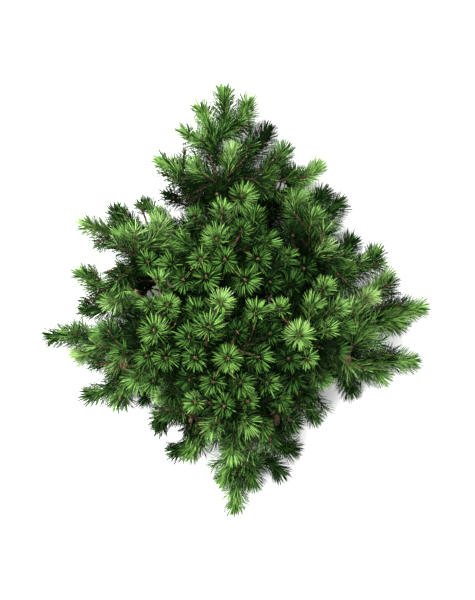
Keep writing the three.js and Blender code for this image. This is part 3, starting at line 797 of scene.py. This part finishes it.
def carried_frames(tangents):
    """One side vector carried along a curve's tangents, and the vector square to both."""
    sides = np.zeros_like(tangents)
    side = np.array([1.0, 0.0, 0.0])
    if abs(tangents[0] @ side) > STEEP:
        side = np.array([0.0, 1.0, 0.0])
    for i, along in enumerate(tangents):
        side = unit(side - along * (side @ along))
        sides[i] = side
    return sides, np.cross(tangents, sides)


def tube_rings(curve, t, radii, sides):
    """Rings about a curve; radii is one row for each ring with one radius for each side."""
    side, other = carried_frames(curve.tangents(t))
    spoke = turned(side[:, None], other[:, None], circle(sides))
    return curve.points(t)[:, None] + spoke * radii[..., None]


# Bark: plates between winding cracks, from a few waves of seeded phase
PLATES = {"octaves": 3, "pitch": (0.7, 1.3), "winding": 1.6, "top": 1.1}
PLATES_ACROSS = {"pitch": 1.7, "winding": 0.9, "height": 1.3}
BARK = table(
    ["sides", "scale", "level", "share", "limits"],
    {"trunk": [72, 16, 0.7, 0.11, (0.9, 3.0)], "bough": [16, 9, 0.65, 0.16, (0.6, 1.8)]},
)
TRUNK_RINGS = {"count": 150, "crowding": 1.25}
BOUGH_STEP = 5
BOUGH_SCARS = {"height": 0.9, "apart": 78, "width": 5}
BOUGH_COLLAR = {"share": 0.3, "length": 30}


def plates(angles, along, scale, generator):
    total = 0.0
    for octave in range(1, PLATES["octaves"] + 1):
        turns = generator.integers(2, 4) * octave
        pitch = generator.uniform(*PLATES["pitch"]) * octave / scale
        phase = generator.uniform(0, 2 * math.pi, 3)
        wave = np.sin(turns * angles + phase[0] + PLATES["winding"] * np.sin(pitch * along + phase[1]))
        winding = PLATES_ACROSS["winding"] * np.sin(turns * angles)
        cross = np.sin(PLATES_ACROSS["pitch"] * pitch * along + phase[2] + winding)
        total += np.minimum(np.abs(wave), np.abs(cross) * PLATES_ACROSS["height"]) / octave
    return np.clip(total / PLATES["top"], 0, 1)


def relief(angles, along, radius, bark, generator):
    heights = plates(angles, along, bark["scale"], generator) - bark["level"]
    return heights * np.clip(radius * bark["share"], *bark["limits"])


def build_trunk(materials):
    bark = BARK["trunk"]
    heights = TRUNK_HEIGHT * np.linspace(0, 1, TRUNK_RINGS["count"]) ** TRUNK_RINGS["crowding"]
    angles = circle(bark["sides"])[None, :]
    ribs = 1 + FLARE_RIBS["depth"] * np.cos(FLARE_RIBS["count"] * angles)
    flare = FLARE * np.exp(-heights[:, None] / FLARE_HEIGHT) * ribs
    radius = trunk_radius(heights)[:, None]
    generator = np.random.default_rng(SEEDS["trunk"])
    radii = radius + flare + relief(angles, heights[:, None], radius, bark, generator)
    axis = np.array([trunk_point(z) for z in heights])
    x = axis[:, :1] + radii * np.cos(angles)
    y = axis[:, 1:2] - radii * np.sin(angles)
    z = np.broadcast_to(heights[:, None], x.shape)
    vertices, triangles = ringed(np.stack([x, y, z], axis=-1))
    batch = Batch()
    # These rings run the other way round, so their triangles are reversed
    batch.add(vertices, triangles[:, ::-1], 0)
    batch.piece("trunk_bark", materials, "bark", ["trunk"])


def build_boughs(masses, materials):
    batch = Batch()
    bark = BARK["bough"]
    angles = circle(bark["sides"])[None, :]
    names = []
    for index, mass in enumerate(masses):
        limb = mass["limb"]
        if limb["name"] == "top":
            continue
        names.append("bough_" + limb["name"])
        length = limb["curve"].length()
        t = np.linspace(0, BOUGH_SHARE, int(length * BOUGH_SHARE / BOUGH_STEP))
        along = (t * length)[:, None]
        radius = limb["radius"](t)[:, None]
        off_scar = (along % BOUGH_SCARS["apart"] - BOUGH_SCARS["apart"] / 2) / BOUGH_SCARS["width"]
        scars = BOUGH_SCARS["height"] * np.exp(-(off_scar**2))
        collar = BOUGH_COLLAR["share"] * radius * np.exp(-along / BOUGH_COLLAR["length"])
        generator = np.random.default_rng(SEEDS["boughs"] + index)
        radii = radius + scars + collar + relief(angles, along, radius, bark, generator)
        batch.add(*ringed(tube_rings(limb["curve"], t, radii, bark["sides"])), 0)
    batch.piece("boughs_bark", materials, "bark", names)


# Twigs: scaly with the bases of old needles, in rings that are turned and swollen by turns. Each row: the
# radii at root and tip, and the step between rings
TWIGS = {
    "main": (4.2, 3.0, 6),
    "side": (2.7, 2.2, 14),
    "inner": (3.2, 2.4, 14),
    "trunk": (3.4, 2.4, 14),
}
STEM_STEP = 6
TWIG_SIDES = 6
TWIG_SWELLING = 0.13
TWIG_SPREAD = (0.93, 1.07)
FEWEST_RINGS = 4


def add_twig(batch, curve, start, radius_at, step, generator):
    length = curve.length() * (1 - start)
    t = np.linspace(start, 1, max(FEWEST_RINGS, int(length / step)))
    swelling = np.cos(math.pi * (np.arange(len(t))[:, None] + np.arange(TWIG_SIDES)[None, :]))
    uneven = generator.uniform(*TWIG_SPREAD, (len(t), TWIG_SIDES))
    radii = radius_at(t)[:, None] * (1 + TWIG_SWELLING * swelling) * uneven
    batch.add(*ringed(tube_rings(curve, t, radii, TWIG_SIDES)), 0)


def build_twigs(masses, materials):
    batch = Batch()
    generator = np.random.default_rng(SEEDS["twigs"])
    for mass in masses:
        limb = mass["limb"]
        add_twig(batch, limb["curve"], mass["start"], limb["radius"], STEM_STEP, generator)
        for shoot in mass["shoots"]:
            root, tip, step = TWIGS[shoot["kind"]]
            add_twig(batch, shoot["curve"], 0, lambda t: lerp(root, tip, t), step, generator)
    batch.piece("twigs", materials, "twigs")


# Needles

def blade_triangles(stations):
    """The triangles of one blade, and which of them are its base."""
    tip = 3 * len(stations)
    triangles = []
    for a in range(0, tip - 3, 3):
        triangles += [[a, a + 1, a + 4], [a, a + 4, a + 3], [a + 1, a + 2, a + 5], [a + 1, a + 5, a + 4]]
    triangles += [[tip - 3, tip - 2, tip], [tip - 2, tip - 1, tip]]
    return np.array(triangles), np.arange(len(triangles)) < 4


# The small amounts keep the cross product and the unit vector defined where a needle lies along its shoot
def blades(roots, headings, toward, lengths, growth):
    side = unit(np.cross(headings, toward + 1e-3))
    other = np.cross(headings, side)
    forward = unit(toward - headings * (toward * headings).sum(-1, keepdims=True) + 1e-9)
    stations = growth["blade"]
    vertices = np.zeros((len(roots), 3 * len(stations) + 1, 3))
    for k, (at, wide, bent) in enumerate(stations):
        middle = roots + headings * (lengths * at)[:, None]
        middle += forward * (lengths * growth["bend"] * bent)[:, None]
        half = growth["radius"] * wide
        vertices[:, 3 * k] = middle - side * half
        vertices[:, 3 * k + 1] = middle + other * half * BLADE_FOLD
        vertices[:, 3 * k + 2] = middle + side * half
    vertices[:, -1] = roots + headings * lengths[:, None] + forward * (lengths * growth["bend"])[:, None]
    return vertices


def brush(curve, growth, start, end, generator):
    """The blades of the needles on a stretch of a shoot, and which of them, near the rear, are painted
    darker as shade.
    """
    count = int(curve.length() * (end - start) * growth["density"])
    if count < FEWEST_NEEDLES:
        return None
    pair = np.arange(count) // 2
    places = (pair + generator.uniform(0, 1, count)[pair]) / (pair[-1] + 1)
    u = 1 - (1 - places) ** growth["crowding"]
    t = lerp(start, end, u)
    along = curve.tangents(t)
    side = unit(np.cross(along, OFF_AXIS))
    turn = GOLDEN_ANGLE * pair + generator.normal(0, TURN_SPREAD, count)
    turn += PAIR_SPLAY * (-1.0) ** np.arange(count)
    out = turned(side, np.cross(along, side), turn)
    frontness = np.clip((u - growth["front_from"]) / (1 - growth["front_from"]), 0, 1)
    frontness *= generator.uniform(0, 1, count) ** FRONT_POWER
    angles = lerp(growth["rear"], growth["front"], frontness)
    angles += generator.normal(0, growth["spread"], count)
    headings = turned(along, out, np.radians(angles))
    size = generator.uniform(1 - growth["vary"], 1 + growth["vary"])
    lengths = NEEDLE * growth["length"] * size * generator.uniform(*LENGTH_SPREAD, count)
    roots = curve.points(t) + out * AXIS_RADIUS
    return blades(roots, headings, along, lengths, growth), u < growth["rear_shade"]


def first_tone(shoot, generator):
    zone = shoot["zone"]
    tone = int(generator.choice(len(TONES), p=ZONES[zone]["chances"]))
    tip = shoot["curve"].points(1)
    # Shoots whose tips lie in the deep hollows are painted a tone darker as shade
    in_shaded_hollow = any(math.hypot(tip[0] - x, tip[1] - y) < radius for x, y, radius in SHADED_HOLLOWS)
    is_darker = zone != "rim" and in_shaded_hollow
    if zone in ("rim", "ring"):
        level = shoot["heading"][:2]
        is_darker |= bool(abs(level[1]) > ALONG_Y * np.linalg.norm(level))
    return min(tone + shoot["tone"] + is_darker, len(TONES) - 1)


def is_allowed(vertices, shoot, walls):
    tips = vertices[:, -1]
    within = (tips[:, 2] > LOWEST_TIP) & (tips[:, 2] < HIGHEST_TIP)
    within &= walls.inside(tips) > -INTERLACING[shoot["kind"]]
    return within & is_off_clearings(vertices).all(axis=1)


def add_brush(batch, shoot, walls, name, start, end, tone, generator):
    growth = GROWTHS[name]
    needles = brush(shoot["curve"], growth, start, end, generator)
    if needles is None:
        return
    vertices, is_rear_shaded = needles
    is_kept = is_allowed(vertices, shoot, walls)
    vertices = vertices[is_kept]
    count = len(vertices)
    if not count:
        return
    blade, is_base = blade_triangles(growth["blade"])
    triangles = blade[None] + vertices.shape[1] * np.arange(count)[:, None, None]
    # Needles near the rear of the brush, and the base of each blade, are painted darker as shade
    shift = generator.choice(list(TONE_SHIFTS), count, p=list(TONE_SHIFTS.values())) + is_rear_shaded[is_kept]
    tones = np.clip(tone + shift[:, None] + growth["shaded"] * is_base[None, :], 0, len(TONES) - 1)
    batch.add(vertices, triangles, tones.ravel())


def add_needles(newest_batch, older_batch, mass, index):
    walls = mass["walls"]
    for k, shoot in enumerate(mass["shoots"]):
        generator = np.random.default_rng([index, k, SEEDS["needles"]])
        zone = ZONES[shoot["zone"]]
        tone = first_tone(shoot, generator)
        length = shoot["curve"].length()
        newest = 1 - min(shoot["needled"], NEEDLED / length)
        batch = newest_batch if shoot["kind"] == "main" else older_batch
        add_brush(batch, shoot, walls, zone["newest"], newest, NEEDLES_TO, tone, generator)
        if shoot["kind"] == "main":
            oldest = max(OLD_FROM, newest - OLD_REACH / length)
            # The older needles are darker, partly with age and partly as painted shade under the newest
            tone = min(tone + zone["age_and_shade_steps"], len(TONES) - 1)
            add_brush(older_batch, shoot, walls, zone["older"], oldest, newest, tone, generator)


# Masses whose needles are joined into one piece of newest and one of older needles
NEEDLE_GROUPS = {
    "rim_1": [f"rim_{i}" for i in range(1, 9)],
    "rim_2": [f"rim_{i}" for i in range(9, 16)],
    "middle": [f"middle_{i}" for i in range(1, 8)],
    "upper": [f"upper_{i}" for i in range(1, 5)] + ["top"],
}


def build_needles(masses, materials):
    for group, members in NEEDLE_GROUPS.items():
        newest, older = Batch(), Batch()
        for index, mass in enumerate(masses):
            if mass["limb"]["name"] in members:
                add_needles(newest, older, mass, index)
        newest.piece("needles_new_" + group, materials, "needles_new")
        older.piece("needles_" + group, materials, "needles", ["foliage_" + member for member in members])


# Buds: one in the middle of each shoot's end with smaller ones round it, of red-brown scales with pale tips
BUD_PROFILE = [(0.0, 0.6), (0.35, 1.0), (0.75, 0.7), (1.0, 0.15)]
BUD_SIDES = 5
BUD_AT = 0.985
BUD_SIZES = {"main": 0.78, "side": 0.62}
MIDDLE_BUD = {"length": 9, "radius": 3.0}
RING_BUD = {"length": 6, "radius": 2.1, "count": 4, "spread": 1.0, "off": 2.4, "lean": 0.7}


def add_bud(batch, place, heading, shape, size):
    length = shape["length"] * size
    radius = shape["radius"] * size
    spoke = turned(*frame_about(heading), circle(BUD_SIDES))
    rings = [place + heading * at * length + spoke * wide * radius for at, wide in BUD_PROFILE]
    vertices, triangles = ringed(rings)
    is_tip = triangles.max(1) >= BUD_SIDES * (len(BUD_PROFILE) - 2)
    batch.add(vertices, triangles, is_tip)


def build_buds(masses, materials):
    batch = Batch()
    generator = np.random.default_rng(SEEDS["buds"])
    for shoot in [shoot for mass in masses for shoot in mass["shoots"] if shoot["kind"] in BUD_SIZES]:
        size = BUD_SIZES[shoot["kind"]]
        place = shoot["curve"].points(BUD_AT)
        along = shoot["curve"].tangents(1.0)
        add_bud(batch, place, along, MIDDLE_BUD, size)
        if shoot["kind"] != "main":
            continue
        side, other = frame_about(along)
        for k in range(RING_BUD["count"]):
            turn = 2 * math.pi * k / RING_BUD["count"] + generator.uniform(0, RING_BUD["spread"])
            out = turned(side, other, turn)
            lean = unit(along + out * RING_BUD["lean"])
            add_bud(batch, place + out * RING_BUD["off"] * size, lean, RING_BUD, size)
    batch.piece("buds", materials, "buds")


# Cones: a spiral of woody scales round a slim core
CONE_LENGTH = 30
CONE_RADIUS = 11
CONE_SCALES = 62
CONE_CORE = {"sides": 10, "rings": 6, "share": 0.62, "from": 0.12, "over": 0.84, "power": 0.6}
CONE_COAT = {"share": 0.72, "from": 0.14, "over": 0.78, "power": 0.7, "lean": (-0.15, 0.9)}
SCALE_SIZE = 7.2
SCALE_SPREAD = (0.9, 1.1)
# A scale stands out of the cone as a kite with a thick edge: its corners across, out and along
SCALE_CORNERS = [(0, -0.5, 0), (0.52, 0, 0.05), (0, 0.55, 0.35), (-0.52, 0, 0.05), (0, 0.25, -0.18)]
SCALE_TRIANGLES = [[0, 1, 2], [0, 2, 3], [4, 1, 0], [4, 2, 1], [4, 3, 2], [4, 0, 3]]
CONE_AT = 0.97
CONE_RISE = 25
CONE_MASSES = ["rim_3", "rim_8", "rim_11", "rim_15", "middle_5", "middle_6"]
MASS_SEED = 4001
# Places in plan near which a shoot bears one more cone at the foot of its newest needles
CONE_PLACES = [(247, 262), (-92, 355), (-252, -175), (-235, -95), (115, -117), (105, -232), (190, -92)]
PLACED_CONE = {"rise": 0.9, "squareness": 0.6, "off": 3}


def cone_width(part, at):
    return math.sin(math.pi * (part["from"] + part["over"] * at)) ** part["power"]


def add_cone(batch, base, along, generator):
    side, other = frame_about(along)
    spoke = turned(side, other, circle(CONE_CORE["sides"]))
    rings = []
    for at in np.linspace(0, 1, CONE_CORE["rings"]):
        radius = CONE_RADIUS * CONE_CORE["share"] * cone_width(CONE_CORE, at)
        rings.append(base + along * at * CONE_LENGTH + spoke * radius)
    batch.add(*ringed(rings), 0)
    for k in range(CONE_SCALES):
        at = (k + 0.5) / CONE_SCALES
        wide = cone_width(CONE_COAT, at)
        out = turned(side, other, GOLDEN_ANGLE * k)
        place = base + along * at * CONE_LENGTH + out * CONE_RADIUS * CONE_COAT["share"] * wide
        lean = unit(out + along * lerp(*CONE_COAT["lean"], at))
        size = SCALE_SIZE * wide * generator.uniform(*SCALE_SPREAD)
        corners = place + np.array(SCALE_CORNERS) @ np.array([np.cross(lean, along), lean, along]) * size
        batch.add(corners, SCALE_TRIANGLES, 1)


def build_cones(masses, materials):
    batch = Batch()
    generator = np.random.default_rng(SEEDS["cones"])
    for index, mass in enumerate(masses):
        if mass["limb"]["name"] in CONE_MASSES:
            draw = seeded(MASS_SEED + index)
            base = mass["limb"]["curve"].points(CONE_AT)
            add_cone(batch, base, heading_of(360 * draw(), CONE_RISE), generator)
    shoots = [shoot for mass in masses for shoot in mass["shoots"] if shoot["kind"] == "main"]
    feet = np.array([shoot["curve"].points(1 - shoot["needled"]) for shoot in shoots])
    for x, y in CONE_PLACES:
        nearest = int(np.hypot(feet[:, 0] - x, feet[:, 1] - y).argmin())
        along = shoots[nearest]["curve"].tangents(1 - shoots[nearest]["needled"])
        out = unit(outward(360 * generator.uniform()) + UP * PLACED_CONE["rise"])
        heading = unit(out - along * (out @ along) * PLACED_CONE["squareness"])
        add_cone(batch, feet[nearest] + heading * PLACED_CONE["off"], heading, generator)
    batch.piece("cones", materials, "cones")


# Materials

SPECKLED = table(
    ["roughness", "specular", "scale", "detail", "stops", "bump"],
    {
        "bud": [0.65, 0.2, 500, 3, (0.35, 0.65), {"strength": 0.3, "distance": 0.0006}],
        "cone": [0.75, 0.25, 260, 4, (0.3, 0.7), {"strength": 0.4, "distance": 0.0008}],
        "floor": [0.9, 0.1, 3, 2, (0.3, 0.7), None],
    },
)
BARK_SPECULAR = 0.12
BARK_STOPS = [(0.05, (0.045, 0.027, 0.018)), (0.25, (0.125, 0.075, 0.044)), (0.5, (0.23, 0.155, 0.1))]
TWIG_STOPS = [(0.1, (0.14, 0.088, 0.038)), (0.3, (0.06, 0.037, 0.016)), (0.6, (0.02, 0.013, 0.007))]


class Look:
    """A material, with helpers that link patterns to its shader."""

    def __init__(self, name, specular, roughness=0.6):
        self.material = bpy.data.materials.new(name)
        self.material.use_nodes = True
        self.nodes = self.material.node_tree.nodes
        self.links = self.material.node_tree.links
        self.inputs = self.nodes["Principled BSDF"].inputs
        self.inputs["Roughness"].default_value = roughness
        self.inputs["Specular IOR Level"].default_value = specular

    def node(self, kind, **settings):
        node = self.nodes.new("ShaderNode" + kind)
        for key, value in settings.items():
            node.inputs[key].default_value = value
        return node

    def pattern(self, kind, **settings):
        texture = self.node(kind, **settings)
        self.links.new(self.node("TexCoord").outputs["Object"], texture.inputs["Vector"])
        return texture.outputs

    def colour(self, source, stops):
        colours = self.node("ValToRGB")
        elements = colours.color_ramp.elements
        while len(elements) < len(stops):
            elements.new(0.5)
        for element, (position, colour) in zip(elements, stops):
            element.position = position
            element.color = (*colour, 1)
        self.links.new(source, colours.inputs["Fac"])
        self.links.new(colours.outputs["Color"], self.inputs["Base Color"])

    def bump(self, height, strength, distance):
        bump = self.node("Bump", Strength=strength, Distance=distance)
        self.links.new(height, bump.inputs["Height"])
        self.links.new(bump.outputs["Normal"], self.inputs["Normal"])

    def rough_between(self, source, low, high):
        spread = self.node("MapRange", **{"To Min": low, "To Max": high})
        self.links.new(source, spread.inputs["Value"])
        self.links.new(spread.outputs["Result"], self.inputs["Roughness"])


def needle_material(tone):
    colour, shine = TONES[tone]
    look = Look("needles_" + tone, shine)
    look.inputs["Base Color"].default_value = (*colour, 1)
    noise = look.pattern("TexNoise", Scale=220, Detail=2)
    look.rough_between(noise["Fac"], *NEEDLE_ROUGHNESS)
    return look.material


def bark_material():
    look = Look("bark", BARK_SPECULAR)
    cells = look.pattern("TexVoronoi", Scale=95, Randomness=1.0)
    noise = look.pattern("TexNoise", Scale=60, Detail=8, Roughness=0.65)
    mix = look.node("Math")
    mix.operation = "MULTIPLY"
    look.links.new(cells["Distance"], mix.inputs[0])
    look.links.new(noise["Fac"], mix.inputs[1])
    look.colour(mix.outputs[0], BARK_STOPS)
    look.rough_between(noise["Fac"], low=0.75, high=0.95)
    look.bump(mix.outputs[0], strength=0.6, distance=0.002)
    return look.material


def twig_material():
    look = Look("twig_bark", BARK_SPECULAR)
    cells = look.pattern("TexVoronoi", Scale=330, Randomness=0.9)["Distance"]
    look.colour(cells, TWIG_STOPS)
    look.rough_between(cells, low=0.55, high=0.85)
    look.bump(cells, strength=0.5, distance=0.001)
    return look.material


def speckled_material(name, kind, dark, light):
    row = SPECKLED[kind]
    look = Look(name, row["specular"], row["roughness"])
    noise = look.pattern("TexNoise", Scale=row["scale"], Detail=row["detail"])["Fac"]
    look.colour(noise, list(zip(row["stops"], (dark, light))))
    if row["bump"]:
        look.bump(noise, **row["bump"])
    return look.material


# Stage

FLOOR_SIZE = 9.0
VIEW_CENTRE = np.array([0.014, 0.045, 0.205])  # the middle of the picture, at the height of the rim
VIEW_ELEVATION = 87.5
VIEW_DISTANCE = 2.92
LENS = 70
SENSOR = 36
WORLD_STRENGTH = 0.49
# Lights: name, azimuth, elevation, distance, size, power
LIGHTS = [("key", 170, 73, 3.4, 1.8, 410), ("overhead", 60, 82, 3.6, 3.0, 195)]


def build_floor():
    half = FLOOR_SIZE / 2
    mesh = bpy.data.meshes.new("floor")
    corners = [(-half, -half, 0), (half, -half, 0), (half, half, 0), (-half, half, 0)]
    mesh.from_pydata(corners, [], [(0, 1, 2, 3)])
    mesh.materials.append(speckled_material("floor", "floor", (0.86, 0.86, 0.855), (0.9, 0.9, 0.895)))
    floor = new_object("floor", mesh)


def build_camera():
    data = bpy.data.cameras.new("camera")
    data.lens = LENS
    data.sensor_width = SENSOR
    camera = new_object("camera", data)
    camera.location = VIEW_CENTRE + heading_of(-90, VIEW_ELEVATION) * VIEW_DISTANCE
    camera.rotation_euler = (math.radians(90 - VIEW_ELEVATION), 0, 0)
    bpy.context.scene.camera = camera


def add_light(name, azimuth, elevation, distance, size, power):
    data = bpy.data.lights.new(name, "AREA")
    data.size = size
    data.energy = power
    light = new_object(name, data)
    light.location = VIEW_CENTRE + heading_of(azimuth, elevation) * distance
    light.rotation_euler = (math.radians(90 - elevation), 0, math.radians(azimuth + 90))


def build_light():
    world = bpy.data.worlds.new("studio")
    world.use_nodes = True
    inputs = world.node_tree.nodes["Background"].inputs
    inputs["Color"].default_value = (1, 1, 1, 1)
    inputs["Strength"].default_value = WORLD_STRENGTH
    bpy.context.scene.world = world
    for light in LIGHTS:
        add_light(*light)
    bpy.context.scene.view_settings.view_transform = "Standard"


# Assembly

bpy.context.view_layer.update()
build_camera()
build_light()
build_floor()
plant = grow_plant()
build_trunk([bark_material()])
# The boughs carry the plain bark that comes with the frame
build_boughs(plant, [bpy.data.materials["bark"]])
build_twigs(plant, [twig_material()])
build_needles(plant, [needle_material(tone) for tone in TONES])
bud_scales = speckled_material("bud_scales", "bud", (0.05, 0.025, 0.01), (0.1, 0.052, 0.02))
bud_tips = speckled_material("bud_tips", "bud", (0.09, 0.05, 0.02), (0.2, 0.125, 0.06))
build_buds(plant, [bud_scales, bud_tips])
cone_core = speckled_material("cone_core", "cone", (0.025, 0.014, 0.01), (0.06, 0.032, 0.02))
cone_scales = speckled_material("cone_scales", "cone", (0.075, 0.038, 0.022), (0.2, 0.105, 0.06))
build_cones(plant, [cone_core, cone_scales])
